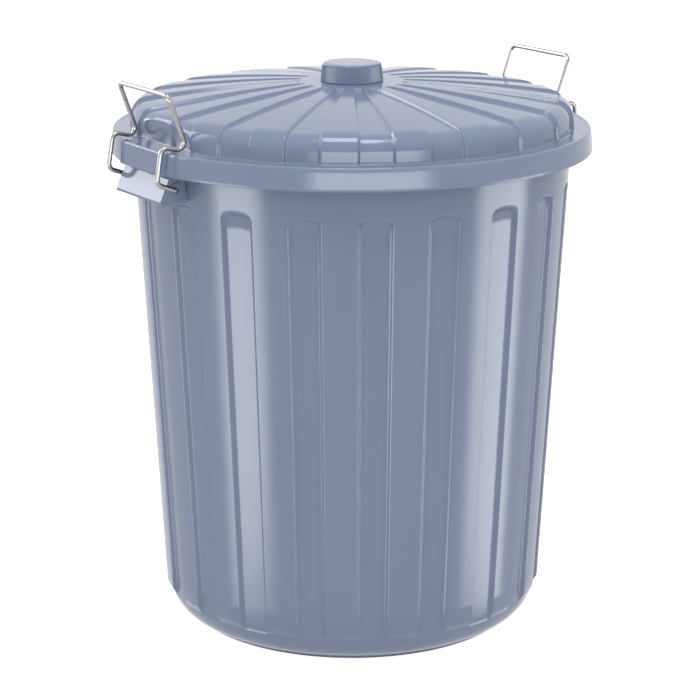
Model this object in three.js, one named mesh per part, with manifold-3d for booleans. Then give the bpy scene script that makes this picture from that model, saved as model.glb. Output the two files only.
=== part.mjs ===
// Round refuse bin with a clip-on lid, moulded in blue-grey polypropylene. Millimetres, +Z up.
// The bin stands on z = 0 about the Z axis, with one wire clip at +X and one at -X.
// Angles are in degrees. Azimuths are counted from +X, anticlockwise seen from above.
import * as THREE from 'three';
import { mergeVertices } from 'three/addons/utils/BufferGeometryUtils.js';
import Module from 'manifold-3d';

// ---- bin ----
const BIN_HEIGHT = 522.2; // floor to the top of the rim
const RIM_RADIUS = 228.7; // outside of the plain wall, level with the rim
const BASE_RADIUS = 200; // the same cone carried down to the floor
const BIN_WALL = 3;
const BASE_CORNER_RADIUS = 31.5;
const BASE_CORNER_LIFT = 2; // lowest point of that round corner above the floor
const FOOT_REACH = 8; // outside of the foot ring, past the centre of the round corner
const FOOT_WIDTH = 14;
const BASE_PUSH_UP = 4; // middle of the base above the floor
const RIM_LIP_REACH = 13.8; // out from the wall
const RIM_LIP_DEPTH = 11;
const RIM_EDGE_RADIUS = 1.5;

// Upright panels pressed into the bin's wall, arched at the top and open at the foot.
const PANEL_COUNT = 20;
const PANEL_WIDTH = 9.2; // degrees
const PANEL_DEPTH = 4.5;
const PANEL_FLANK = 4.5;
const PANEL_TOP_DROP = 49.7; // below the rim
const PANEL_ARCH_RISE = 5.5;
const BAND_EDGE_RISE = 2.5; // where the raised bands between the panels end, above the round corner
const BAND_FOOT_DROP = 5.5; // where their sloped ends run out, below its top

// Lugs that carry the clips: boxes open below, with a front that leans out towards the bottom.
const LUG_HALF_WIDTH = 46;
const LUG_DEPTH = 47; // below the rim
const LUG_PAST_SKIRT = 2.8; // front's bottom edge, out past the foot of the lid's skirt
const LUG_FRONT_LEAN = 25; // degrees from upright
const LUG_WALL = 3;
const LUG_BOSS_RADIUS = 8;
const LUG_BOSS_HEIGHT = 1;

// ---- lid ----
const SEAT_GAP = 0.3; // between faces that rest on each other
const LID_WALL = 3;
const LID_SIDE_GAP = 3; // between the bin's lip and the lid's skirt
const SKIRT_HEIGHT = 22.7; // below the flange's top face
const SKIRT_TAPER = 1.8; // how much narrower the skirt is at its top
const SKIRT_EDGE_RADIUS = 2.5;
const BEAD_WIDTH = 5;
const BEAD_HEIGHT = 0.6;
const FLANGE_WIDTH = 17.7; // skirt's top to the foot of the dome's upright wall
const DOME_WALL_TAPER = 1;
const DOME_CORNER_RADIUS = 20;
const DOME_RISE = 45.5; // flange to the flat disc in the middle
const CROWN_RADIUS = 1350;
const DISC_RADIUS = 54;
const GROOVE_WIDTH = 8.4; // degrees
const GROOVE_DEPTH = 3;
const GROOVE_FLANK = 3;
const POCKET_DEPTH = 7; // how far a flat sets the dome's wall back behind each clip

// ---- knob ----
const KNOB_FOOT_RADIUS = 32.6;
const KNOB_TOP_RADIUS = 30.8;
const KNOB_HEIGHT = 19;
const KNOB_WALL = 3;
const KNOB_EDGE_RADIUS = 3;
const RIB_COUNT = 80;
const RIB_DEPTH = 0.6;
const SPIGOT_RADIUS = 8;
const SPIGOT_GAP = 0.3; // round the spigot in the lid's hole
const SPIGOT_BARB = 1.6;
const SPIGOT_BARB_HEIGHT = 4;
const SPIGOT_BARB_EDGE = 1; // upright part of the barb, under its catching face
const SPIGOT_SLOT = 2.5;

// ---- wire clips: where the straights of one leg meet, before the bends round them off ----
const WIRE_DIAMETER = 5;
const WIRE_LEG_GAP = 1; // between a leg and the boss beside it
const WIRE_HOLE_GAP = 0.7; // round the wire's end in the lug
const WIRE_END_LENGTH = 12; // leg to the tip of the wire's end
const WIRE_FLAT_GAP = 2.5; // between a leg and the flat on the skirt beside it
const PIVOT_INSET = 15; // in from the foot of the skirt
const PIVOT_RISE = 13; // above the lug's bottom edge
const LOWER_STANDOFF = 9; // out from the foot of the skirt
const LOWER_RISE = 8.9; // above the pivot
const CATCH_STANDOFF = 2.6; // out from the foot of the skirt
const CATCH_RISE = 8; // above the flange
const INNER_STANDOFF = 0.1; // out from the pocket's flat
const INNER_RISE = 1; // above the flange
const HANDLE_LEAN = 20.8; // out from the pocket's flat
const HANDLE_RISE = 57.5; // above the flange
const BEND_RADIUS = 7;
const END_BEND_RADIUS = 4;

const PITCH = 360 / PANEL_COUNT;
const ROUND_SIDES = 120; // of the cones that trim what joins the bin or the skirt
const SMALL_ROUND_SIDES = 32;
const WIRE_SIDES = 10;
const ARC_STEPS = 3; // along each round corner
const HALF_ARC_INSET = 1 - Math.SQRT1_2; // of a corner's radius, at the middle of its arc
const OVERCUT = 1; // how far a cut runs past what it cuts

const wasm = await Module();
wasm.setup();

const sine = (degrees) => Math.sin(THREE.MathUtils.degToRad(degrees));
const cosine = (degrees) => Math.cos(THREE.MathUtils.degToRad(degrees));
const tangent = (degrees) => Math.tan(THREE.MathUtils.degToRad(degrees));
const asDegrees = THREE.MathUtils.radToDeg;
const mix = THREE.MathUtils.lerp;

function indexedGeometry(positions, triangles) {
  const geometry = new THREE.BufferGeometry();
  geometry.setAttribute('position', new THREE.Float32BufferAttribute(positions, 3));
  geometry.setIndex(triangles);
  return geometry;
}

// A closed skin round the Z axis. A section is a list of [azimuth, radius, height] points that
// leaves the axis and comes back to it, and every section has the same number of points.
function skinOf(sections) {
  const rings = sections[0].length - 2;
  const positions = [0, 0, sections[0][0][2], 0, 0, sections[0][rings + 1][2]];
  const triangles = [];
  const vertex = (column, ring) => 2 + (column % sections.length) * rings + ring;
  sections.forEach((section, column) => {
    for (const [azimuth, radius, height] of section.slice(1, -1)) {
      positions.push(radius * cosine(azimuth), radius * sine(azimuth), height);
    }
    triangles.push(0, vertex(column + 1, 0), vertex(column, 0));
    for (let ring = 0; ring < rings - 1; ring += 1) {
      const [a, b] = [vertex(column, ring), vertex(column + 1, ring)];
      triangles.push(a, b, b + 1, a, b + 1, a + 1);
    }
    triangles.push(vertex(column, rings - 1), vertex(column + 1, rings - 1), 1);
  });
  return indexedGeometry(positions, triangles);
}

function solidOf(geometry) {
  const bare = geometry.clone();
  bare.deleteAttribute('normal');
  bare.deleteAttribute('uv');
  const merged = mergeVertices(bare);
  return new wasm.Manifold(new wasm.Mesh({
    numProp: 3,
    vertProperties: new Float32Array(merged.attributes.position.array),
    triVerts: new Uint32Array(merged.index.array),
  }));
}

function geometryOf(solid) {
  const mesh = solid.getMesh();
  return indexedGeometry(mesh.vertProperties, Array.from(mesh.triVerts));
}

// An outline of [distance from the axis, height] points, pulled sideways at the +X clip.
function slab(outline, halfWidth) {
  const shape = new THREE.Shape(outline.map(([radius, height]) => new THREE.Vector2(radius, height)));
  const geometry = new THREE.ExtrudeGeometry(shape, { depth: 2 * halfWidth, bevelEnabled: false });
  return geometry.rotateX(Math.PI / 2).translate(0, halfWidth, 0);
}

function coneBetween(lowRadius, low, highRadius, high, sides = ROUND_SIDES) {
  const geometry = new THREE.CylinderGeometry(highRadius, lowRadius, high - low, sides);
  return geometry.rotateX(Math.PI / 2).translate(0, 0, (low + high) / 2);
}

// A round pin lying along the hinge line of the +X clip.
function pinAcross(radius, from, to, [distance, height]) {
  const geometry = new THREE.CylinderGeometry(radius, radius, to - from, SMALL_ROUND_SIDES / 2);
  return geometry.translate(distance, (from + to) / 2, height);
}

const atBothClips = (solid) => solid.add(solidOf(geometryOf(solid).rotateZ(Math.PI)));

// ---- where things are ----
const flangeTop = BIN_HEIGHT + SEAT_GAP + LID_WALL;
const skirtBottom = flangeTop - SKIRT_HEIGHT;
const discTop = flangeTop + DOME_RISE;
const lugBottom = BIN_HEIGHT - LUG_DEPTH;

const binRadius = (height) => mix(BASE_RADIUS, RIM_RADIUS, height / BIN_HEIGHT);
const lipRadius = RIM_RADIUS + RIM_LIP_REACH;
const skirtRadius = (height) => (
  lipRadius + LID_SIDE_GAP + LID_WALL + SKIRT_TAPER * (BIN_HEIGHT - height) / SKIRT_HEIGHT);
const skirtFoot = skirtRadius(skirtBottom);
const domeFoot = skirtRadius(flangeTop) - FLANGE_WIDTH;
const pocketFace = domeFoot - POCKET_DEPTH;
const legOffset = LUG_HALF_WIDTH + LUG_BOSS_HEIGHT + WIRE_LEG_GAP + WIRE_DIAMETER / 2;
const pivot = [skirtFoot - PIVOT_INSET, lugBottom + PIVOT_RISE];

// ---- bin ----
const cornerHeight = BASE_CORNER_LIFT + BASE_CORNER_RADIUS;
const cornerCentre = binRadius(cornerHeight) - PANEL_DEPTH - BASE_CORNER_RADIUS;
const footRadius = cornerCentre + FOOT_REACH;

function baseCorner(radius, fromDip, toDip) {
  return Array.from({ length: ARC_STEPS + 1 }, (_, step) => {
    const dip = mix(fromDip, toDip, step / ARC_STEPS);
    return [cornerCentre + radius * cosine(dip), cornerHeight - radius * sine(dip)];
  });
}

// One upright cut through the bin's wall. side is -1, 0 or 1 across a panel, and null between two.
function binSection(centre, side, sunk) {
  const half = PANEL_WIDTH / 2;
  const azimuthAt = (radius) => {
    if (side === null) return centre + PITCH / 2;
    return centre + side * (half - (sunk ? asDegrees(PANEL_FLANK / radius) : 0));
  };
  const across = side === null ? 1 : (azimuthAt(RIM_RADIUS) - centre) / half;
  const archTop = BIN_HEIGHT - PANEL_TOP_DROP - PANEL_ARCH_RISE * across ** 2;
  const archFoot = archTop - PANEL_FLANK;
  const sink = sunk ? PANEL_DEPTH : 0;
  const wall = (height, inset) => [binRadius(height) - inset, height];
  const footDip = asDegrees(Math.acos(FOOT_REACH / BASE_CORNER_RADIUS));
  const bandDip = asDegrees(Math.asin(BAND_FOOT_DROP / BASE_CORNER_RADIUS));
  const bandEdge = cornerHeight + BAND_EDGE_RISE;
  const footInside = footRadius - FOOT_WIDTH;
  const rimUnderside = BIN_HEIGHT - BIN_WALL;
  const lipBottom = BIN_HEIGHT - RIM_LIP_DEPTH;
  const outline = [
    [0, BASE_PUSH_UP],
    [footInside - BASE_PUSH_UP, BASE_PUSH_UP],
    [footInside, 0],
    [footRadius, 0],
    ...baseCorner(BASE_CORNER_RADIUS, footDip, bandDip),
    wall(bandEdge, sink),
    wall(archFoot, sink),
    wall(archTop, 0),
    wall(rimUnderside, 0),
    [lipRadius - BIN_WALL, rimUnderside],
    [lipRadius - BIN_WALL, lipBottom],
    [lipRadius, lipBottom],
    [lipRadius, BIN_HEIGHT - RIM_EDGE_RADIUS],
    [lipRadius - RIM_EDGE_RADIUS, BIN_HEIGHT],
    wall(BIN_HEIGHT, BIN_WALL),
    wall(archTop, BIN_WALL),
    wall(archFoot, BIN_WALL + sink),
    wall(bandEdge, BIN_WALL + sink),
    ...baseCorner(BASE_CORNER_RADIUS - BIN_WALL, bandDip, 90),
    [0, BASE_PUSH_UP + BIN_WALL],
  ];
  return outline.map(([radius, height]) => [azimuthAt(radius), radius, height]);
}

function clipLug() {
  const bottom = lugBottom;
  const top = BIN_HEIGHT - BIN_WALL / 2;
  const inside = BASE_RADIUS;
  const lean = tangent(LUG_FRONT_LEAN);
  const frontAt = (height, inset) => [
    skirtFoot + LUG_PAST_SKIRT - (height - bottom) * lean - inset / cosine(LUG_FRONT_LEAN), height];
  const box = slab([[inside, bottom], frontAt(bottom, 0), frontAt(top, 0), [inside, top]], LUG_HALF_WIDTH);
  const low = bottom - LUG_WALL;
  const high = BIN_HEIGHT - BIN_WALL;
  const hollow = slab(
    [[inside, low], frontAt(low, LUG_WALL), frontAt(high, LUG_WALL), [inside, high]],
    LUG_HALF_WIDTH - LUG_WALL);
  const middle = BIN_WALL / 2;
  const binCore = coneBetween(
    binRadius(low) - middle, low, binRadius(BIN_HEIGHT) - middle, BIN_HEIGHT);
  const bossFace = LUG_HALF_WIDTH + LUG_BOSS_HEIGHT;
  const holeEnd = bossFace + OVERCUT;
  const hole = pinAcross(WIRE_DIAMETER / 2 + WIRE_HOLE_GAP, -holeEnd, holeEnd, pivot);
  const bosses = [
    pinAcross(LUG_BOSS_RADIUS, LUG_HALF_WIDTH - LUG_WALL, bossFace, pivot),
    pinAcross(LUG_BOSS_RADIUS, -bossFace, LUG_WALL - LUG_HALF_WIDTH, pivot),
  ];
  return solidOf(box)
    .subtract(solidOf(hollow))
    .subtract(solidOf(binCore))
    .add(solidOf(bosses[0]))
    .add(solidOf(bosses[1]))
    .subtract(solidOf(hole));
}

function binGeometry() {
  const sections = [];
  for (let panel = 0; panel < PANEL_COUNT; panel += 1) {
    const centre = (panel + 0.5) * PITCH;
    sections.push(
      binSection(centre, -1, false),
      binSection(centre, -1, true),
      binSection(centre, 0, true),
      binSection(centre, 1, true),
      binSection(centre, 1, false),
      binSection(centre, null, false));
  }
  return geometryOf(solidOf(skinOf(sections)).add(atBothClips(clipLug())));
}

// ---- lid ----
// Behind a clip the dome's upright wall is cut back to a flat.
const domeRadius = (azimuth) => Math.min(domeFoot, pocketFace / Math.abs(cosine(azimuth)));

// One cut through the lid. side is -1 or 1 across a groove, and null midway between two grooves.
function lidSection(centre, side, sunk) {
  const azimuthAt = (radius) => {
    if (side === null) return centre + PITCH / 2;
    return centre + side * (GROOVE_WIDTH / 2 - (sunk ? asDegrees(GROOVE_FLANK / radius) : 0));
  };
  const sink = sunk ? GROOVE_DEPTH : 0;
  const grooveEnd = DISC_RADIUS + GROOVE_FLANK;
  const crown = (radius) => discTop - sink - (radius ** 2 - DISC_RADIUS ** 2) / (2 * CROWN_RADIUS);
  const wallFoot = domeRadius(azimuthAt(domeFoot)) - sink;
  const wallTop = wallFoot - DOME_WALL_TAPER;

  // The round corner between the wall and the crown, drawn about one centre for both faces.
  const bendCentre = wallTop - DOME_CORNER_RADIUS;
  const bendEnd = 90 - asDegrees(Math.atan(bendCentre / CROWN_RADIUS));
  const bendTouch = bendCentre + DOME_CORNER_RADIUS * cosine(bendEnd);
  const bendHeight = crown(bendTouch) - DOME_CORNER_RADIUS * sine(bendEnd);
  const bend = (radius, from, to) => Array.from({ length: ARC_STEPS + 1 }, (_, step) => {
    const angle = mix(from, to, step / ARC_STEPS);
    return [bendCentre + radius * cosine(angle), bendHeight + radius * sine(angle)];
  });
  const onCrown = (share, drop) => {
    const radius = mix(grooveEnd, bendTouch, share);
    return [radius, crown(radius) - drop];
  };

  const beadTop = flangeTop + BEAD_HEIGHT;
  const flangeUnderside = flangeTop - LID_WALL;
  const skirtTop = skirtRadius(flangeTop);
  const roundOff = SKIRT_EDGE_RADIUS * HALF_ARC_INSET;
  const outline = [
    [0, discTop - LID_WALL],
    [DISC_RADIUS, discTop - LID_WALL],
    onCrown(0, LID_WALL),
    onCrown(1 / 2, LID_WALL),
    ...bend(DOME_CORNER_RADIUS - LID_WALL, bendEnd, 0),
    [wallFoot - LID_WALL, flangeUnderside],
    [skirtTop - LID_WALL, flangeUnderside],
    [skirtFoot - LID_WALL, skirtBottom],
    [skirtFoot, skirtBottom],
    [skirtTop, beadTop - SKIRT_EDGE_RADIUS],
    [skirtTop - roundOff, beadTop - roundOff],
    [skirtTop - SKIRT_EDGE_RADIUS, beadTop],
    [skirtTop - BEAD_WIDTH, beadTop],
    [skirtTop - BEAD_WIDTH - BEAD_HEIGHT, flangeTop],
    [wallFoot, flangeTop],
    ...bend(DOME_CORNER_RADIUS, 0, bendEnd),
    onCrown(1 / 2, 0),
    onCrown(0, 0),
    [DISC_RADIUS, discTop],
    [0, discTop],
  ];
  return outline.map(([radius, height]) => [azimuthAt(radius), radius, height]);
}

// The flat face that stands on the skirt between a clip's legs, as high as the skirt.
function skirtFlat() {
  const top = flangeTop + BEAD_HEIGHT;
  const inside = skirtRadius(flangeTop) - BEAD_WIDTH;
  const outline = [
    [inside, skirtBottom],
    [skirtFoot, skirtBottom],
    [skirtFoot - SKIRT_TAPER, top - SKIRT_EDGE_RADIUS],
    [skirtFoot - SKIRT_TAPER - SKIRT_EDGE_RADIUS, top],
    [inside, top],
  ];
  const middle = LID_WALL / 2;
  const core = coneBetween(
    skirtFoot - middle, skirtBottom - OVERCUT, skirtRadius(flangeTop) - middle, flangeTop - middle);
  const halfWidth = legOffset - WIRE_DIAMETER / 2 - WIRE_FLAT_GAP;
  return solidOf(slab(outline, halfWidth)).subtract(solidOf(core));
}

function lidGeometry() {
  const sections = [];
  for (let groove = 0; groove < PANEL_COUNT; groove += 1) {
    const centre = (groove + 0.5) * PITCH;
    sections.push(
      lidSection(centre, -1, false),
      lidSection(centre, -1, true),
      lidSection(centre, 1, true),
      lidSection(centre, 1, false),
      lidSection(centre, null, false));
  }
  const holeRadius = SPIGOT_RADIUS + SPIGOT_GAP;
  const hole = coneBetween(
    holeRadius, discTop - 2 * LID_WALL, holeRadius, discTop + LID_WALL, SMALL_ROUND_SIDES);
  return geometryOf(
    solidOf(skinOf(sections)).add(atBothClips(skirtFlat())).subtract(solidOf(hole)));
}

// ---- knob ----
// A ribbed cap on a slotted spigot that snaps through the hole in the middle of the lid.
function knobGeometry() {
  const foot = discTop + SEAT_GAP;
  const top = foot + KNOB_HEIGHT;
  const shoulder = top - KNOB_EDGE_RADIUS;
  const roundOff = KNOB_EDGE_RADIUS * HALF_ARC_INSET;
  const sections = [];
  for (let column = 0; column < 2 * RIB_COUNT; column += 1) {
    const azimuth = column * 180 / RIB_COUNT;
    const cut = column % 2 ? RIB_DEPTH : 0;
    sections.push([
      [azimuth, 0, foot],
      [azimuth, KNOB_FOOT_RADIUS - cut, foot],
      [azimuth, KNOB_TOP_RADIUS - cut, shoulder],
      [azimuth, KNOB_TOP_RADIUS - roundOff, top - roundOff],
      [azimuth, KNOB_TOP_RADIUS - KNOB_EDGE_RADIUS, top],
      [azimuth, 0, top],
    ]);
  }
  const ceiling = top - KNOB_WALL;
  const hollow = coneBetween(
    KNOB_FOOT_RADIUS - KNOB_WALL, foot - OVERCUT,
    KNOB_TOP_RADIUS - KNOB_WALL, ceiling, SMALL_ROUND_SIDES);

  const seat = discTop - LID_WALL - SEAT_GAP;
  const tip = seat - SPIGOT_BARB_HEIGHT;
  const root = ceiling + KNOB_WALL / 2;
  const profile = [
    [0, tip],
    [SPIGOT_RADIUS, tip],
    [SPIGOT_RADIUS + SPIGOT_BARB, seat - SPIGOT_BARB_EDGE],
    [SPIGOT_RADIUS + SPIGOT_BARB, seat],
    [SPIGOT_RADIUS, seat],
    [SPIGOT_RADIUS, root],
    [0, root],
  ].map(([radius, height]) => new THREE.Vector2(radius, height));
  const spigot = new THREE.LatheGeometry(profile, SMALL_ROUND_SIDES).rotateX(Math.PI / 2);
  const reach = SPIGOT_RADIUS + SPIGOT_BARB + OVERCUT;
  const slotHeight = discTop - tip + OVERCUT;
  const slots = [[2 * reach, SPIGOT_SLOT], [SPIGOT_SLOT, 2 * reach]].map(([along, across]) => (
    new THREE.BoxGeometry(along, across, slotHeight)
      .translate(0, 0, tip - OVERCUT + slotHeight / 2)));
  return geometryOf(
    solidOf(skinOf(sections))
      .subtract(solidOf(hollow))
      .add(solidOf(spigot).subtract(solidOf(slots[0])).subtract(solidOf(slots[1]))));
}

// ---- wire clips ----
// A wire bent round its corners. Its points are the ends of the straights and steps of the arcs,
// and they are evenly spaced in the curve's parameter, so a sweep meets each one.
class BentWire extends THREE.Curve {
  constructor(corners, bendRadii) {
    super();
    this.points = [corners[0]];
    for (let index = 1; index < corners.length - 1; index += 1) {
      const corner = corners[index];
      const back = corners[index - 1].clone().sub(corner).normalize();
      const ahead = corners[index + 1].clone().sub(corner).normalize();
      const half = back.angleTo(ahead) / 2;
      const radius = bendRadii[index - 1];
      const middle = back.clone().add(ahead).normalize();
      const centre = corner.clone().addScaledVector(middle, radius / Math.sin(half));
      const start = corner.clone().addScaledVector(back, radius / Math.tan(half)).sub(centre);
      const axis = ahead.clone().cross(back).normalize();
      for (let step = 0; step <= ARC_STEPS; step += 1) {
        const turned = start.clone().applyAxisAngle(axis, (step / ARC_STEPS) * (Math.PI - 2 * half));
        this.points.push(centre.clone().add(turned));
      }
    }
    this.points.push(corners.at(-1));
  }

  getPoint(share, target = new THREE.Vector3()) {
    const place = share * (this.points.length - 1);
    const index = Math.min(Math.floor(place), this.points.length - 2);
    return target.lerpVectors(this.points[index], this.points[index + 1], place - index);
  }

  getUtoTmapping(share) {
    return share;
  }
}

function clipGeometry() {
  const leg = [
    pivot,
    [skirtFoot + LOWER_STANDOFF, pivot[1] + LOWER_RISE],
    [skirtFoot + CATCH_STANDOFF, flangeTop + CATCH_RISE],
    [pocketFace + INNER_STANDOFF, flangeTop + INNER_RISE],
    [pocketFace + HANDLE_LEAN, flangeTop + HANDLE_RISE],
  ];
  const corner = (side) => ([distance, height]) => new THREE.Vector3(distance, side * legOffset, height);
  const tip = (side) => new THREE.Vector3(pivot[0], side * (legOffset - WIRE_END_LENGTH), pivot[1]);
  const corners = [tip(-1), ...leg.map(corner(-1)), ...leg.map(corner(1)).reverse(), tip(1)];
  const bends = leg.map((_, index) => (index ? BEND_RADIUS : END_BEND_RADIUS));
  const wire = new BentWire(corners, [...bends, ...bends.toReversed()]);
  const section = new THREE.Shape().absarc(0, 0, WIRE_DIAMETER / 2, 0, 2 * Math.PI);
  const geometry = new THREE.ExtrudeGeometry(section, {
    steps: wire.points.length - 1, curveSegments: WIRE_SIDES / 2, bevelEnabled: false, extrudePath: wire });
  return geometryOf(solidOf(geometry));
}

// ---- assembly ----
const plastic = () => new THREE.MeshStandardMaterial({ color: 0x8790a8, roughness: 0.28, flatShading: true });
const steel = () => new THREE.MeshStandardMaterial({
  color: 0xd5d4d0, roughness: 0.22, metalness: 1, flatShading: true });

function piece(name, geometry, material) {
  const mesh = new THREE.Mesh(geometry, material);
  mesh.name = name;
  return mesh;
}

const group = new THREE.Group();
group.add(piece('bin_body', binGeometry(), plastic()));
group.add(piece('lid', lidGeometry(), plastic()));
group.add(piece('lid_knob', knobGeometry(), plastic()));
group.add(piece('right_clip', clipGeometry(), steel()));
const leftClip = piece('left_clip', clipGeometry(), steel());
leftClip.rotation.z = Math.PI;
group.add(leftClip);

export default group;
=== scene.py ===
"""A round, tapered refuse bin with a clip-on lid, moulded in blue-grey plastic. Metres, +Z up."""

import math

import bpy
from mathutils import Matrix, Vector


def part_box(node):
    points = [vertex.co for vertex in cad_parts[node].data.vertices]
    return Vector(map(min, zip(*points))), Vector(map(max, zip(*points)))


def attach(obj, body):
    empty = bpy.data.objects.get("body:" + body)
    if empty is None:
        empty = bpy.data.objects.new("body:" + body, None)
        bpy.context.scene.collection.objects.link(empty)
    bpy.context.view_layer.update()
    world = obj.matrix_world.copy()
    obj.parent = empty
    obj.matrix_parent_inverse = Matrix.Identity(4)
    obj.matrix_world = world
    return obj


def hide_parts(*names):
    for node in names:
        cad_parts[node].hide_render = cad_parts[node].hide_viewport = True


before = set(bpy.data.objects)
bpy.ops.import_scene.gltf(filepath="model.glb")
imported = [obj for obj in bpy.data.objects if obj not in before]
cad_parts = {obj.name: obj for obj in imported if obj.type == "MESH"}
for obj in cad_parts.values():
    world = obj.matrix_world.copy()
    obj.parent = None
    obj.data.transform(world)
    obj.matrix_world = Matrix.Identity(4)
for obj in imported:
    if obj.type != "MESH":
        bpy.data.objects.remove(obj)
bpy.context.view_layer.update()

# ---- camera ----
# The photograph is taken a little above the lid, with the left clip turned towards the viewer.
# Only the camera stands here. Its place was fitted to the rim, the base and the clips.
CAMERA_PLACE = (-1.3566, -2.0894, 0.9587)
CAMERA_DOWN = 15.21  # degrees below level
CAMERA_TURN = -32.95  # degrees, round Z from looking along +Y
CAMERA_LENS = 124.4  # mm
CAMERA_SENSOR = 36  # mm, across

camera_data = bpy.data.cameras.new("camera")
camera_data.lens = CAMERA_LENS
camera_data.sensor_width = CAMERA_SENSOR
camera = bpy.data.objects.new("camera", camera_data)
camera.location = CAMERA_PLACE
camera.rotation_euler = (math.radians(90 - CAMERA_DOWN), 0, math.radians(CAMERA_TURN))
bpy.context.collection.objects.link(camera)
bpy.context.scene.camera = camera

# ---- bin shell ----
# One injection moulding in glossy blue-grey polypropylene: a tapered wall with twenty sunk
# panels, a rim with a turned-down lip under the lid, and a rounded base on a narrow foot ring.
# Its outline is spun round the axis, and then the panels are pressed into the wall.
RIM_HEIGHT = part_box("bin_body")[1].z
RIM_RADIUS = 0.2287
BASE_RADIUS = 0.2
WALL = 0.003
BASE_CORNER_RADIUS = 0.0315
BASE_CORNER_HEIGHT = 0.0335  # centre of the round corner
FOOT_OUTSIDE = 0.1738
FOOT_INSIDE = 0.1598
FOOT_SLOPE = 0.004  # how far the ring's inner side leans
BASE_PUSH_UP = 0.004
BASE_MIDDLE = 0.08  # a ring of edges on the level base
LOW_ROW = 0.18  # rows of edges on the plain stretches of the wall
HIGH_ROW = 0.505
LIP_RADIUS = 0.2425
LIP_DEPTH = 0.011
BAYS = 20
BAY_PITCH = 360 / BAYS
COLUMNS = 18  # to a bay, so each is a degree before it is slid
LAST_COLUMN = COLUMNS // 2  # counted from the middle of the bay
PANEL_DEPTH = 0.0045
PANEL_TOP = 0.4725
PANEL_FLANK = 0.0045
PANEL_HALF_WIDTH = 4.6  # degrees
FLANK_FOOT = 3.7  # degrees, where the panel's side flank meets its face
FLANK_HEAD = 4.45  # degrees, where it meets the wall
ARCH_RISE = 0.0055
ARCH_START = 0.33  # the rows bend from here up to the panel's arched top
ARCH_END = 0.486  # and are level again from here
BAND_FOOT = 0.028
BAND_EDGE = 0.036
EDGE = 0.0011  # from a crease to the edge beside it, which rounds it off


def draw_line(name, points):
    """A line of edges in the XZ plane, extruded from a single point."""
    bpy.ops.object.select_all(action="DESELECT")
    bpy.ops.mesh.primitive_plane_add(size=0.001)
    line = bpy.context.object
    line.name = line.data.name = name
    bpy.ops.object.mode_set(mode="EDIT")
    bpy.ops.mesh.merge(type="CENTER")
    here = Vector((0, 0, 0))
    for number, (radius, height) in enumerate(points):
        step = Vector((radius, 0, height)) - here
        here += step
        if number:
            bpy.ops.mesh.extrude_region_move(TRANSFORM_OT_translate={"value": step})
        else:
            bpy.ops.transform.translate(value=step)
    return line


def spin_round(columns):
    """Spins the line in edit mode into a closed shell round Z."""
    bpy.ops.mesh.select_all(action="SELECT")
    bpy.ops.mesh.spin(steps=columns, angle=2 * math.pi, center=(0, 0, 0), axis=(0, 0, 1))
    bpy.ops.mesh.select_all(action="SELECT")
    bpy.ops.mesh.remove_doubles(threshold=1e-5)
    bpy.ops.mesh.normals_make_consistent(inside=False)
    bpy.ops.object.mode_set(mode="OBJECT")


def between(value, *stops):
    """Straight from stop to stop, each (value, result), and level outside them."""
    if value <= stops[0][0]:
        return stops[0][1]
    for (low, at_low), (high, at_high) in zip(stops, stops[1:]):
        if value <= high:
            return at_low + (at_high - at_low) * (value - low) / (high - low)
    return stops[-1][1]


def arc(centre, radius, first, last, steps):
    """Points on a round corner in the XZ plane, from one angle to another, in degrees."""
    points = []
    for step in range(steps + 1):
        angle = math.radians(first + (last - first) * step / steps)
        points.append((centre[0] + radius * math.cos(angle), centre[1] + radius * math.sin(angle)))
    return points


def apply_modifier(piece, kind, **settings):
    bpy.context.view_layer.objects.active = piece
    modifier = piece.modifiers.new(kind.lower(), kind)
    for name, value in settings.items():
        setattr(modifier, name, value)
    bpy.ops.object.modifier_apply(modifier=modifier.name)


def smooth(piece, levels, sharp=180):
    """Subdivision, as fine in the view as in the render, and smooth shading."""
    if levels:
        # The limit surface is left off, because it takes minutes at a pole.
        apply_modifier(piece, "SUBSURF", levels=levels, render_levels=levels,
                       use_limit_surface=False)
    bpy.ops.object.select_all(action="DESELECT")
    piece.select_set(True)
    bpy.context.view_layer.objects.active = piece
    if sharp < 180:
        bpy.ops.object.shade_smooth_by_angle(angle=math.radians(sharp))
    else:
        bpy.ops.object.shade_smooth()


def wall_radius(height):
    return BASE_RADIUS + (RIM_RADIUS - BASE_RADIUS) * height / RIM_HEIGHT


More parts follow.
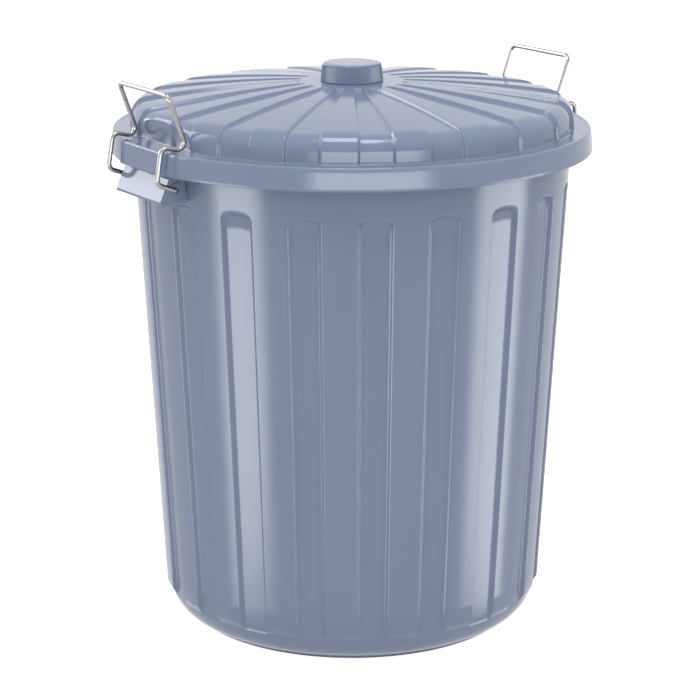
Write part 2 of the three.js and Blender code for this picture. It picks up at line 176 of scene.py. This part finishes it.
corner = (wall_radius(BASE_CORNER_HEIGHT) - PANEL_DEPTH - BASE_CORNER_RADIUS, BASE_CORNER_HEIGHT)
band_dip = math.degrees(math.asin((BASE_CORNER_HEIGHT - BAND_FOOT) / BASE_CORNER_RADIUS))
foot_dip = math.degrees(math.acos((FOOT_OUTSIDE - corner[0]) / BASE_CORNER_RADIUS))
wall_heights = [
    BAND_EDGE, BAND_EDGE + EDGE, LOW_ROW, ARCH_START,
    PANEL_TOP - PANEL_FLANK - EDGE, PANEL_TOP - PANEL_FLANK,
    PANEL_TOP, PANEL_TOP + EDGE,
]
lip_inside = LIP_RADIUS - WALL
outline = [
    (0, BASE_PUSH_UP), (BASE_MIDDLE, BASE_PUSH_UP), (FOOT_INSIDE - 0.006, BASE_PUSH_UP),
    (FOOT_INSIDE - FOOT_SLOPE, BASE_PUSH_UP), (FOOT_INSIDE, 0), (FOOT_INSIDE + EDGE, 0),
    (FOOT_OUTSIDE - EDGE / 2, 0), (FOOT_OUTSIDE, EDGE / 2),
    *arc(corner, BASE_CORNER_RADIUS, -foot_dip, -band_dip - 3, 7),
    *arc(corner, BASE_CORNER_RADIUS, -band_dip, -band_dip + 1, 1),
    *[(wall_radius(height), height) for height in wall_heights],
    (wall_radius(ARCH_END), ARCH_END), (wall_radius(HIGH_ROW), HIGH_ROW),
    (wall_radius(RIM_HEIGHT - WALL), RIM_HEIGHT - WALL), (lip_inside, RIM_HEIGHT - WALL),
    (lip_inside, RIM_HEIGHT - LIP_DEPTH), (LIP_RADIUS, RIM_HEIGHT - LIP_DEPTH),
    (LIP_RADIUS, RIM_HEIGHT - EDGE), (LIP_RADIUS - EDGE, RIM_HEIGHT),
    (RIM_RADIUS - WALL + EDGE, RIM_HEIGHT), (RIM_RADIUS - WALL, RIM_HEIGHT - EDGE),
    (wall_radius(ARCH_END) - WALL, ARCH_END),
    *[(wall_radius(height) - WALL, height) for height in reversed(wall_heights)],
    *arc(corner, BASE_CORNER_RADIUS - WALL, -band_dip, -90, 5),
    (BASE_MIDDLE, BASE_PUSH_UP + WALL), (0, BASE_PUSH_UP + WALL),
]
bin_shell = draw_line("bin_shell", outline)
spin_round(BAYS * COLUMNS)


def bay_column(vertex):
    """The middle of the bay that the vertex is in, and the vertex's place beside it, in degrees."""
    azimuth = math.degrees(math.atan2(vertex.co.y, vertex.co.x)) % 360
    middle = (math.floor(azimuth / BAY_PITCH + 1e-4) + 0.5) * BAY_PITCH
    return middle, azimuth - middle


# The columns of each bay are slid together at the panel's edges, counted from its middle.
PANEL_COLUMNS = [0, 1.7, 3.1, 3.42, FLANK_FOOT, FLANK_HEAD, 4.73, 5.05, 6.9, BAY_PITCH / 2]
TAPER = (RIM_RADIUS - BASE_RADIUS) / RIM_HEIGHT
for vertex in bin_shell.data.vertices:
    radius = vertex.co.xy.length
    height = vertex.co.z
    if radius < EDGE:
        continue
    middle, column = bay_column(vertex)
    off = PANEL_COLUMNS[min(round(abs(column)), LAST_COLUMN)]
    azimuth = math.radians(middle + math.copysign(off, column))
    # The panel's top is an arch, a little tighter at its two corners than in the middle.
    across = min(off / PANEL_HALF_WIDTH, 1)
    arched = between(height, (ARCH_START, 0), (PANEL_TOP - PANEL_FLANK - EDGE, 1),
                     (PANEL_TOP + EDGE, 1), (ARCH_END, 0))
    drop = arched * ARCH_RISE * (0.75 * across ** 2 + 0.25 * across ** 8)
    sunk = between(off, (FLANK_FOOT, 1), (FLANK_HEAD, 0)) * between(
        height, (BAND_FOOT, 0), (BAND_EDGE, 1), (PANEL_TOP - PANEL_FLANK, 1), (PANEL_TOP, 0))
    radius -= sunk * PANEL_DEPTH + drop * TAPER
    vertex.co = (radius * math.cos(azimuth), radius * math.sin(azimuth), height - drop)
smooth(bin_shell, 1)


def node(material, kind, inputs=None, **settings):
    """Adds a node with its settings; inputs holds plain values and the sockets that feed it."""
    made = material.node_tree.nodes.new(kind)
    for name, value in settings.items():
        setattr(made, name, value)
    for name, value in (inputs or {}).items():
        if isinstance(value, bpy.types.NodeSocket):
            material.node_tree.links.new(value, made.inputs[name])
        else:
            made.inputs[name].default_value = value
    return made


def linear(colour, alpha=1):
    """An sRGB hex colour as linear RGBA."""
    channels = [int(colour[i:i + 2], 16) / 255 for i in (1, 3, 5)]
    return [c / 12.92 if c <= 0.04045 else ((c + 0.055) / 1.055) ** 2.4 for c in channels] + [alpha]


# Polypropylene, injection moulded in a polished tool: a hard gloss over a slightly uneven
# skin. Flow and cooling leave broad, faint changes of tone and a shallow wave of about 40 mm,
# and the tool's polish a fine grain of about 1 mm, both drawn a little coarse so that they show.
PLASTIC_COLOUR = "#7b879f"
PLASTIC_SHADE = "#747f99"
PLASTIC_IOR = 1.5
FLOW_LENGTH = 0.12
WAVE_LENGTH = 0.04
GRAIN_LENGTH = 0.0012

plastic = bpy.data.materials.new("moulded_polypropylene")
plastic.use_nodes = True
plastic.node_tree.nodes.clear()
place = node(plastic, "ShaderNodeTexCoord").outputs["Object"]
flow = node(plastic, "ShaderNodeTexNoise", {
    "Vector": place, "Scale": 1 / FLOW_LENGTH, "Detail": 3})
tone = node(plastic, "ShaderNodeMix", {
    0: flow.outputs["Fac"], 6: linear(PLASTIC_SHADE), 7: linear(PLASTIC_COLOUR)}, data_type="RGBA")
wave = node(plastic, "ShaderNodeTexNoise", {
    "Vector": place, "Scale": 1 / WAVE_LENGTH, "Detail": 1})
grain = node(plastic, "ShaderNodeTexNoise", {
    "Vector": place, "Scale": 1 / GRAIN_LENGTH, "Detail": 2})
wavy = node(plastic, "ShaderNodeBump", {
    "Height": wave.outputs["Fac"], "Strength": 0.1, "Distance": 0.001})
grained = node(plastic, "ShaderNodeBump", {
    "Height": grain.outputs["Fac"], "Strength": 0.04, "Distance": 0.0002,
    "Normal": wavy.outputs["Normal"]})
dull = node(plastic, "ShaderNodeMapRange", {
    "Value": flow.outputs["Fac"], "To Min": 0.1, "To Max": 0.17})
skin = node(plastic, "ShaderNodeBsdfPrincipled", {
    "Base Color": tone.outputs[2], "Roughness": dull.outputs["Result"], "IOR": PLASTIC_IOR,
    "Normal": grained.outputs["Normal"]})
node(plastic, "ShaderNodeOutputMaterial", {"Surface": skin.outputs["BSDF"]})

bin_shell.data.materials.append(plastic)
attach(bin_shell, "bin")

# ---- clip lugs ----
# Moulded with the bin under its rim, one on each side: a hollow box, open below, whose front
# leans out and ends in a short upright lip. A raised boss on each cheek is the clip's bearing.
# Its outline is drawn from the side, pulled across, opened behind and below, and given a wall.
LUG_HALF_WIDTH = 0.046
LUG_BOTTOM = 0.4752
LUG_REACH = 0.2528
LUG_LEAN = math.radians(25)
LUG_LIP = 0.0028
LUG_INSIDE = 0.224
LUG_TOP = 0.5192
BOSS_RADIUS = 0.008
BOSS_HEIGHT = 0.001
HOLE_RADIUS = 0.0032
LUG_EDGE = 0.0007
PIN_SIDES = 48  # round the bosses and the hole
PIVOT = Vector((0.23504, 0, 0.4882))  # on the hinge line of the right clip

lean_foot = LUG_BOTTOM + LUG_LIP
lug_side = [
    (LUG_INSIDE, LUG_BOTTOM), (LUG_REACH, LUG_BOTTOM), (LUG_REACH, lean_foot),
    (LUG_REACH - (LUG_TOP - lean_foot) * math.tan(LUG_LEAN), LUG_TOP), (LUG_INSIDE, LUG_TOP),
]


def pin_across(piece, operation, radius, length, middle):
    """Joins a round pin along the hinge line to the piece, or takes it away as a hole."""
    bpy.ops.mesh.primitive_cylinder_add(
        vertices=PIN_SIDES, radius=radius, depth=length, location=middle,
        rotation=(math.pi / 2, 0, 0))
    pin = bpy.context.object
    apply_modifier(piece, "BOOLEAN", operation=operation, object=pin, solver="EXACT")
    bpy.data.objects.remove(pin)


def round_edges(piece, width, segments):
    """Bevels the creases, with flat faces left flat to the eye."""
    smooth(piece, 0)
    apply_modifier(piece, "BEVEL", width=width, segments=segments, limit_method="ANGLE",
                   angle_limit=math.radians(20), harden_normals=True)


def make_lug():
    """The right lug: its side outline pulled across, opened, thickened, bossed and drilled."""
    lug = draw_line("right_lug", lug_side)
    bpy.ops.mesh.select_all(action="SELECT")
    bpy.ops.transform.translate(value=(0, -LUG_HALF_WIDTH, 0))
    bpy.ops.mesh.edge_face_add()
    bpy.ops.mesh.extrude_region_move(TRANSFORM_OT_translate={"value": (0, 2 * LUG_HALF_WIDTH, 0)})
    bpy.ops.mesh.select_all(action="SELECT")
    bpy.ops.mesh.normals_make_consistent(inside=False)
    bpy.ops.mesh.select_all(action="DESELECT")
    bpy.ops.object.mode_set(mode="OBJECT")
    # The bottom is open, and so is the back, which stands inside the bin's wall.
    for face in lug.data.polygons:
        face.select = face.normal.z < -0.9 or face.normal.x < -0.9
    bpy.ops.object.mode_set(mode="EDIT")
    bpy.ops.mesh.delete(type="FACE")
    bpy.ops.object.mode_set(mode="OBJECT")
    apply_modifier(lug, "SOLIDIFY", thickness=WALL, offset=-1, use_even_offset=True)
    for side in (-1, 1):
        middle = PIVOT + Vector((0, side * (LUG_HALF_WIDTH + (BOSS_HEIGHT + EDGE - WALL) / 2), 0))
        pin_across(lug, "UNION", BOSS_RADIUS, WALL + BOSS_HEIGHT - EDGE, middle)
    pin_across(lug, "DIFFERENCE", HOLE_RADIUS, 2 * (LUG_HALF_WIDTH + WALL), PIVOT)
    round_edges(lug, LUG_EDGE, 3)
    return lug


def turned_copy(piece, name):
    """The same piece half a turn round the bin, with a mesh of its own."""
    other = piece.copy()
    other.data = piece.data.copy()
    other.data.transform(Matrix.Rotation(math.pi, 4, "Z"))
    other.name = other.data.name = name
    bpy.context.collection.objects.link(other)
    return other


right_lug = make_lug()
left_lug = turned_copy(right_lug, "left_lug")
for lug in (right_lug, left_lug):
    lug.data.materials.append(plastic)
    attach(lug, "bin")
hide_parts("bin_body")
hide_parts("bin_body")
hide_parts("bin_body")

# ---- lid ----
# One moulding in the same plastic: a skirt that hangs over the bin's rim, a flat flange with a
# raised bead at its edge, and a low dome with twenty grooves that run over its round shoulder
# and down its upright wall. A flat sets that wall back behind each clip.
SEAT_GAP = 0.0003  # between faces that rest on each other
FLANGE_TOP = RIM_HEIGHT + SEAT_GAP + WALL
FLANGE_WIDTH = 0.0177
SKIRT_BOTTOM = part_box("lid")[0].z
SKIRT_FOOT = 0.25004
SKIRT_TOP = 0.24824
BEAD_TOP = FLANGE_TOP + 0.0006
BEAD_RADIUS = 0.0025
BEAD_WIDTH = 0.0058
DISC_TOP = FLANGE_TOP + 0.0455
DOME_FOOT = SKIRT_TOP - FLANGE_WIDTH
DOME_WALL_TAPER = 0.001
SHOULDER_RADIUS = 0.02
CROWN_RADIUS = 1.35
DISC_RADIUS = 0.054
GROOVE_HALF_WIDTH = 4.6  # degrees
GROOVE_LEAST_WIDTH = 0.6  # degrees, half of the bottom where the grooves are narrowest
GROOVE_DEPTH = 0.003
GROOVE_FLANK = 0.0018
GROOVE_EDGE = 0.0006
POCKET_FACE = DOME_FOOT - 0.007


def crown_height(radius):
    """The dome's top is part of a wide ball, and meets the level disc in the middle."""
    return DISC_TOP - (radius ** 2 - DISC_RADIUS ** 2) / (2 * CROWN_RADIUS)


shoulder_x = DOME_FOOT - DOME_WALL_TAPER - SHOULDER_RADIUS
shoulder_end = 90 - math.degrees(math.atan(shoulder_x / CROWN_RADIUS))
shoulder_touch = shoulder_x + SHOULDER_RADIUS * math.cos(math.radians(shoulder_end))
shoulder_drop = SHOULDER_RADIUS * math.sin(math.radians(shoulder_end))
shoulder = (shoulder_x, crown_height(shoulder_touch) - shoulder_drop)
bead = (SKIRT_TOP - BEAD_RADIUS, BEAD_TOP - BEAD_RADIUS)
bead_inside = SKIRT_TOP - BEAD_WIDTH
groove_end = DISC_RADIUS + GROOVE_DEPTH
crown_radii = [0.19, 0.16, 0.12, 0.085, groove_end + EDGE, groove_end]
outline = [
    (0, DISC_TOP - WALL), (DISC_RADIUS, DISC_TOP - WALL), (groove_end, DISC_TOP - WALL),
    (0.12, crown_height(0.12) - WALL), (0.16, crown_height(0.16) - WALL),
    *arc(shoulder, SHOULDER_RADIUS - WALL, shoulder_end, 0, 8),
    (DOME_FOOT - WALL, FLANGE_TOP - WALL), (SKIRT_TOP - WALL, FLANGE_TOP - WALL),
    (SKIRT_FOOT - WALL, SKIRT_BOTTOM + EDGE / 2), (SKIRT_FOOT - WALL + EDGE / 2, SKIRT_BOTTOM),
    (SKIRT_FOOT - EDGE / 2, SKIRT_BOTTOM), (SKIRT_FOOT, SKIRT_BOTTOM + EDGE / 2),
    (SKIRT_FOOT - 0.0001, SKIRT_BOTTOM + 2 * EDGE), (SKIRT_TOP + 0.0003, BEAD_TOP - 0.004),
    *arc(bead, BEAD_RADIUS, 0, 90, 4),
    (bead_inside + 0.0013, BEAD_TOP), (bead_inside + 0.0006, BEAD_TOP - 0.0001),
    (bead_inside, FLANGE_TOP), (bead_inside - 0.001, FLANGE_TOP),
    (DOME_FOOT + 0.003, FLANGE_TOP), (DOME_FOOT + 0.0008, FLANGE_TOP),
    (DOME_FOOT, FLANGE_TOP + 0.0007), (DOME_FOOT - 0.0001, FLANGE_TOP + 0.0022),
    *arc(shoulder, SHOULDER_RADIUS, 0, shoulder_end, 14),
    *[(radius, crown_height(radius)) for radius in crown_radii],
    (DISC_RADIUS, DISC_TOP), (DISC_RADIUS - EDGE, DISC_TOP), (0.02, DISC_TOP), (0, DISC_TOP),
]
lid = draw_line("lid_shell", outline)
spin_round(BAYS * COLUMNS)

for vertex in lid.data.vertices:
    radius = vertex.co.xy.length
    height = vertex.co.z
    if radius < EDGE:
        continue
    middle, column = bay_column(vertex)
    # The flanks keep their width in millimetres, so they take more degrees nearer the middle.
    at = max(radius, groove_end)
    flank = math.degrees(GROOVE_FLANK / at)
    edge = math.degrees(GROOVE_EDGE / at)
    bottom = max(GROOVE_HALF_WIDTH - flank - edge, GROOVE_LEAST_WIDTH)
    groove_columns = [
        0, bottom * 0.5, bottom - edge, bottom, bottom + edge, GROOVE_HALF_WIDTH - edge,
        GROOVE_HALF_WIDTH, GROOVE_HALF_WIDTH + edge, 6.8, BAY_PITCH / 2]
    off = groove_columns[min(round(abs(column)), LAST_COLUMN)]
    sunk = between(off, (bottom + edge / 2, 1), (GROOVE_HALF_WIDTH - edge / 2, 0))
    azimuth = math.radians(middle + math.copysign(off, column))
    if radius < DOME_FOOT + WALL + EDGE and height > FLANGE_TOP - WALL - EDGE:
        # Grooves sink square to the dome's skin: level on its wall, straight down on its crown.
        out = max(radius - shoulder[0], 0)
        up = max(height - shoulder[1], 0)
        from_centre = math.hypot(out, up) or 1
        # Behind a clip the dome's wall keeps inside a flat, and its foot moves in with it.
        foot = min(POCKET_FACE / abs(math.cos(azimuth)), DOME_FOOT)
        face = foot - WALL if from_centre < SHOULDER_RADIUS - WALL / 2 else foot
        if radius > DOME_FOOT - EDGE / 4:
            radius += foot - DOME_FOOT
            out, up = from_centre, 0
        elif radius > face:
            radius = face
            out, up = from_centre, 0
        sunk *= between(radius, (DISC_RADIUS, 0), (groove_end, 1)) * GROOVE_DEPTH
        if radius > shoulder[0]:
            radius -= sunk * out / from_centre
            height -= sunk * up / from_centre
        else:
            height -= sunk
    vertex.co = (radius * math.cos(azimuth), radius * math.sin(azimuth), height)
smooth(lid, 1)
lid.data.materials.append(plastic)
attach(lid, "lid")

# The skirt stands out in a flat between the legs of each clip, and slopes back at each end.
FLAT_HALF_WIDTH = 0.0425
FLAT_SLOPE = Vector((0.0055, 0.0065, 0))
FLAT_BACK_FOOT = 0.2445  # inside the skirt's wall
FLAT_BACK_TOP = 0.2435
FLAT_EDGE = 0.0016
flat_side = [
    (FLAT_BACK_FOOT, SKIRT_BOTTOM), (SKIRT_FOOT, SKIRT_BOTTOM),
    (SKIRT_TOP, BEAD_TOP), (FLAT_BACK_TOP, BEAD_TOP),
]


def make_flat():
    """The right flat: its side outline pulled across, in and out again at the two slopes."""
    flat = draw_line("right_skirt_flat", flat_side)
    bpy.ops.mesh.select_all(action="SELECT")
    bpy.ops.transform.translate(value=Vector((0, -FLAT_HALF_WIDTH, 0)) - FLAT_SLOPE)
    bpy.ops.mesh.edge_face_add()
    for step in (FLAT_SLOPE, (0, 2 * FLAT_HALF_WIDTH, 0), FLAT_SLOPE * Vector((-1, 1, 1))):
        bpy.ops.mesh.extrude_region_move(TRANSFORM_OT_translate={"value": step})
    bpy.ops.mesh.select_all(action="SELECT")
    bpy.ops.mesh.normals_make_consistent(inside=False)
    bpy.ops.object.mode_set(mode="OBJECT")
    round_edges(flat, FLAT_EDGE, 4)
    return flat


right_flat = make_flat()
left_flat = turned_copy(right_flat, "left_skirt_flat")
for flat in (right_flat, left_flat):
    flat.data.materials.append(plastic)
    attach(flat, "lid")
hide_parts("lid")
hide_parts("lid")
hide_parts("lid")

# ---- knob ----
# A round cap in the same plastic with fine upright ribs for the fingers. It is held in the
# middle of the lid by a barbed pin under it, which is drawn whole because the lid hides it.
KNOB_FOOT = DISC_TOP + SEAT_GAP
KNOB_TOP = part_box("lid_knob")[1].z
KNOB_FOOT_RADIUS = 0.0326
KNOB_TOP_RADIUS = 0.0308
KNOB_EDGE = 0.003
KNOB_WALL = 0.003
KNOB_FACE = 0.02  # a ring of edges on the level top
KNOB_SIDE_RADIUS = 0.0316
KNOB_SIDE_HEIGHT = 0.579
PIN_RADIUS = 0.008
PIN_BARB = 0.0016
PIN_BARB_HEIGHT = 0.004
PIN_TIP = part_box("lid_knob")[0].z
RIBS = 100
RIB_COLUMNS = 6  # to a rib
RIB_DEPTH = 0.0011

shoulder_height = KNOB_TOP - KNOB_EDGE
outline = [
    (0, KNOB_TOP), (KNOB_FACE, KNOB_TOP), (0.0262, KNOB_TOP), (0.0272, KNOB_TOP - 0.0001),
    *arc((KNOB_TOP_RADIUS - KNOB_EDGE, shoulder_height), KNOB_EDGE, 85, 0, 6),
    (KNOB_TOP_RADIUS + 0.0001, shoulder_height - 0.001), (KNOB_SIDE_RADIUS, KNOB_SIDE_HEIGHT),
    (KNOB_FOOT_RADIUS - 0.0001, KNOB_FOOT + 0.0012), (KNOB_FOOT_RADIUS, KNOB_FOOT + 0.0005),
    (KNOB_FOOT_RADIUS - 0.0005, KNOB_FOOT), (KNOB_FOOT_RADIUS - KNOB_WALL, KNOB_FOOT),
    (KNOB_TOP_RADIUS - KNOB_WALL, KNOB_TOP - KNOB_WALL), (PIN_RADIUS, KNOB_TOP - KNOB_WALL),
    (PIN_RADIUS, PIN_TIP + PIN_BARB_HEIGHT), (PIN_RADIUS + PIN_BARB, PIN_TIP + PIN_BARB_HEIGHT),
    (PIN_RADIUS, PIN_TIP), (0, PIN_TIP),
]
knob = draw_line("knob_cap", outline)
spin_round(RIB_COLUMNS * RIBS)

# The ribs are cut into the side, and run out in the round edge at the top.
for vertex in knob.data.vertices:
    radius = vertex.co.xy.length
    if radius > KNOB_TOP_RADIUS - 0.0012 and vertex.co.z > KNOB_FOOT + 0.0001:
        azimuth = math.atan2(vertex.co.y, vertex.co.x)
        valley = 0.5 - 0.5 * math.cos(RIBS * azimuth)
        kept = between(vertex.co.z, (shoulder_height, 1), (KNOB_TOP - 0.0005, 0))
        vertex.co.xy *= 1 - RIB_DEPTH * valley * kept / radius
smooth(knob, 0)
knob.data.materials.append(plastic)
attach(knob, "lid")
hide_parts("lid_knob")

# ---- wire clips ----
# Each clip is one length of 5 mm steel wire, bent cold and plated bright. Its two ends turn
# in the lug, its legs hook over the lid's flange, and its top is the handle.
WIRE_RADIUS = 0.0025
WIRE_SIDES = 20
WIRE_END_EDGE = 0.0005
LEG = 0.0505  # from the middle of the clip out to a leg
TIP = 0.0385  # and to the end of the wire, inside the lug
BEND = 0.007
END_BEND = 0.004
BEND_STEPS = 8
# Where the straights of a leg meet, from the hinge up to the handle, before they are rounded.
LEG_CORNERS = [
    (PIVOT.x, PIVOT.z), (0.25875, 0.4971), (0.25264, 0.5335), (0.22364, 0.5265), (0.24434, 0.583)]


def bend_wire():
    """A ring of edges is extruded along each straight and spun round each bend."""
    side = [Vector((x, -LEG, z)) for x, z in LEG_CORNERS]
    corners = side + [Vector((v.x, LEG, v.z)) for v in reversed(side)]
    start = Vector((PIVOT.x, -TIP, PIVOT.z))
    end = Vector((PIVOT.x, TIP, PIVOT.z))
    bpy.ops.object.select_all(action="DESELECT")
    bpy.ops.mesh.primitive_circle_add(
        vertices=WIRE_SIDES, radius=WIRE_RADIUS, location=start, rotation=(math.pi / 2, 0, 0))
    wire = bpy.context.object
    wire.name = wire.data.name = "right_wire"
    bpy.ops.object.transform_apply(location=True, rotation=True, scale=True)
    bpy.ops.object.mode_set(mode="EDIT")
    bpy.ops.mesh.select_all(action="SELECT")
    here = start
    for number, corner_point in enumerate(corners):
        before = (corners[number - 1] if number else start) - corner_point
        after = (corners[number + 1] if number + 1 < len(corners) else end) - corner_point
        half = before.angle(after) / 2
        radius = END_BEND if number in (0, len(corners) - 1) else BEND
        bend_start = corner_point + before.normalized() * radius / math.tan(half)
        middle = (before.normalized() + after.normalized()).normalized()
        centre = corner_point + middle * radius / math.sin(half)
        axis = before.cross(after).normalized()
        bpy.ops.mesh.extrude_region_move(TRANSFORM_OT_translate={"value": bend_start - here})
        bpy.ops.mesh.spin(steps=BEND_STEPS, angle=math.pi - 2 * half, center=centre, axis=axis)
        here = corner_point + after.normalized() * radius / math.tan(half)
    bpy.ops.mesh.extrude_region_move(TRANSFORM_OT_translate={"value": end - here})
    bpy.ops.mesh.select_all(action="SELECT")
    bpy.ops.mesh.remove_doubles(threshold=1e-6)
    bpy.ops.mesh.select_non_manifold()
    bpy.ops.mesh.fill_holes(sides=0)
    bpy.ops.mesh.select_all(action="SELECT")
    bpy.ops.mesh.normals_make_consistent(inside=False)
    bpy.ops.object.mode_set(mode="OBJECT")
    apply_modifier(wire, "BEVEL", width=WIRE_END_EDGE, segments=2, limit_method="ANGLE",
                   angle_limit=math.radians(60))
    smooth(wire, 0, sharp=50)
    return wire


right_wire = bend_wire()
left_wire = turned_copy(right_wire, "left_wire")

# Bright zinc plating on drawn steel wire: a soft metallic shine, with faint clouds of about
# 12 mm from the bath and a fine unevenness, drawn at 0.8 mm so that it shows.
ZINC_COLOUR = "#a8a7a5"
CLOUD_LENGTH = 0.012
FINE_LENGTH = 0.0008
zinc = bpy.data.materials.new("bright_zinc_plated_steel")
zinc.use_nodes = True
zinc.node_tree.nodes.clear()
place = node(zinc, "ShaderNodeTexCoord").outputs["Object"]
cloud = node(zinc, "ShaderNodeTexNoise", {"Vector": place, "Scale": 1 / CLOUD_LENGTH, "Detail": 3})
fine = node(zinc, "ShaderNodeTexNoise", {"Vector": place, "Scale": 1 / FINE_LENGTH, "Detail": 2})
haze = node(zinc, "ShaderNodeMapRange", {
    "Value": cloud.outputs["Fac"], "To Min": 0.18, "To Max": 0.34})
rough = node(zinc, "ShaderNodeBump", {
    "Height": fine.outputs["Fac"], "Strength": 0.08, "Distance": 0.0002})
metal = node(zinc, "ShaderNodeBsdfPrincipled", {
    "Base Color": linear(ZINC_COLOUR), "Metallic": 1, "Roughness": haze.outputs["Result"],
    "Normal": rough.outputs["Normal"]})
node(zinc, "ShaderNodeOutputMaterial", {"Surface": metal.outputs["BSDF"]})

for wire, side in ((right_wire, "right"), (left_wire, "left")):
    wire.data.materials.append(zinc)
    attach(wire, side + "_clip")
    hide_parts(side + "_clip")

# ---- floor and background ----
# A plain white floor of matt paper that keeps the bin's soft shadow, in front of plain white.
# To the camera it has a glow of its own that brings it up to white, and the polished plastic
# mirrors the studio in its place.
FLOOR_SIZE = 12
FLOOR_GLOW = 0.8
bpy.ops.mesh.primitive_plane_add(size=FLOOR_SIZE)
floor = bpy.context.object
floor.name = "floor"
paper = bpy.data.materials.new("white_paper")
paper.use_nodes = True
paper.node_tree.nodes.clear()
path = node(paper, "ShaderNodeLightPath")
matt = node(paper, "ShaderNodeBsdfDiffuse", {"Color": linear("#f2f2f2")})
glow = node(paper, "ShaderNodeEmission", {
    "Color": linear("#ffffff"), "Strength": FLOOR_GLOW})
lit = node(paper, "ShaderNodeAddShader", {0: matt.outputs["BSDF"], 1: glow.outputs["Emission"]})
seen = node(paper, "ShaderNodeMixShader", {
    0: path.outputs["Is Camera Ray"], 1: matt.outputs["BSDF"], 2: lit.outputs["Shader"]})
node(paper, "ShaderNodeOutputMaterial", {"Surface": seen.outputs["Shader"]})
floor.data.materials.append(paper)
floor.visible_glossy = False

# ---- studio lights ----
# Plain white all round, with the soft boxes that the polished plastic mirrors: one on each side
# for the wall's upright streaks, one behind the camera for the skirt and one at the back on the
# left for the lug. An area lamp overhead gives the shadow under the bin its softness.
ROOM_STRENGTH = 1.08
SOFT_BOXES = [
    # Turn to the right of the camera as seen from the bin, spread, bottom and top in degrees,
    # and how much brighter it is than white.
    (-63, 28, -26, -8, 5.8),
    (87, 33, -26, -8, 5),
    (8, 54, -6, 3, 5),
    (-113, 54, 2, 34, 4.5),
]
BOX_SIDE_SOFTNESS = 0.08  # share of the box's half width
BOX_LEVEL_SOFTNESS = 0.02

world = bpy.data.worlds.new("studio")
bpy.context.scene.world = world
world.use_nodes = True
world.node_tree.nodes.clear()
path = node(world, "ShaderNodeLightPath")
outward = node(world, "ShaderNodeTexCoord").outputs["Generated"]
level = node(world, "ShaderNodeVectorMath", {0: outward, 1: (1, 1, 0)}, operation="MULTIPLY")
level = node(world, "ShaderNodeVectorMath", {0: level.outputs["Vector"]}, operation="NORMALIZE")
rise = node(world, "ShaderNodeSeparateXYZ", {"Vector": outward}).outputs["Z"]


def window(value, low, high, soft, top=1):
    """Rises softly to the top value past low, and falls again past high where there is one."""
    up = node(world, "ShaderNodeMapRange", {
        "Value": value, "From Min": low - soft, "From Max": low + soft, "To Max": top},
        interpolation_type="SMOOTHSTEP").outputs["Result"]
    if high is None:
        return up
    down = node(world, "ShaderNodeMapRange", {
        "Value": value, "From Min": high - soft, "From Max": high + soft, "To Min": 1, "To Max": 0},
        interpolation_type="SMOOTHSTEP").outputs["Result"]
    return node(world, "ShaderNodeMath", {0: up, 1: down}, operation="MULTIPLY").outputs["Value"]


def soft_box(turn, spread, bottom, top, strength):
    """A bright patch of the surroundings, by its turn and its height in degrees."""
    azimuth = math.radians(turn + CAMERA_TURN - 90)
    facing = (math.cos(azimuth), math.sin(azimuth), 0)
    faced = node(world, "ShaderNodeVectorMath", {
        0: level.outputs["Vector"], 1: facing}, operation="DOT_PRODUCT")
    edge = math.cos(math.radians(spread / 2))
    edge_soft = BOX_SIDE_SOFTNESS * math.sin(math.radians(spread / 2))
    across = window(faced.outputs["Value"], edge, None, edge_soft, strength)
    low = math.sin(math.radians(bottom))
    high = math.sin(math.radians(top))
    upright = window(rise, low, high, BOX_LEVEL_SOFTNESS)
    lit_part = node(world, "ShaderNodeMath", {0: across, 1: upright}, operation="MULTIPLY")
    return lit_part.outputs["Value"]


bright = 1.0
for box in SOFT_BOXES:
    total = node(world, "ShaderNodeMath", {0: soft_box(*box), 1: bright}, operation="ADD")
    bright = total.outputs["Value"]
mirrored = node(world, "ShaderNodeMix", {
    0: path.outputs["Is Glossy Ray"], 2: 1.0, 3: bright}).outputs[0]
room = node(world, "ShaderNodeBackground", {
    "Color": linear("#e6e7ea"), "Strength": ROOM_STRENGTH})
white = node(world, "ShaderNodeBackground", {"Color": linear("#ffffff"), "Strength": mirrored})
plain = node(world, "ShaderNodeMath", {
    0: path.outputs["Is Camera Ray"], 1: path.outputs["Is Glossy Ray"]}, operation="MAXIMUM")
sky = node(world, "ShaderNodeMixShader", {
    0: plain.outputs["Value"], 1: room.outputs["Background"], 2: white.outputs["Background"]})
node(world, "ShaderNodeOutputWorld", {"Surface": sky.outputs["Shader"]})

OVERHEAD_SIZE = 0.9
OVERHEAD_POWER = 20
OVERHEAD_PLACE = Vector((-0.45, -0.7, 2.6))
OVERHEAD_AIM = Vector((0, 0, 0.5))
overhead = bpy.data.lights.new("overhead_box", "AREA")
overhead.size = OVERHEAD_SIZE
overhead.energy = OVERHEAD_POWER
overhead_box = bpy.data.objects.new("overhead_box", overhead)
overhead_box.location = OVERHEAD_PLACE
overhead_box.rotation_euler = (OVERHEAD_AIM - OVERHEAD_PLACE).to_track_quat("-Z", "Y").to_euler()
bpy.context.collection.objects.link(overhead_box)

bpy.context.scene.view_settings.view_transform = "Standard"
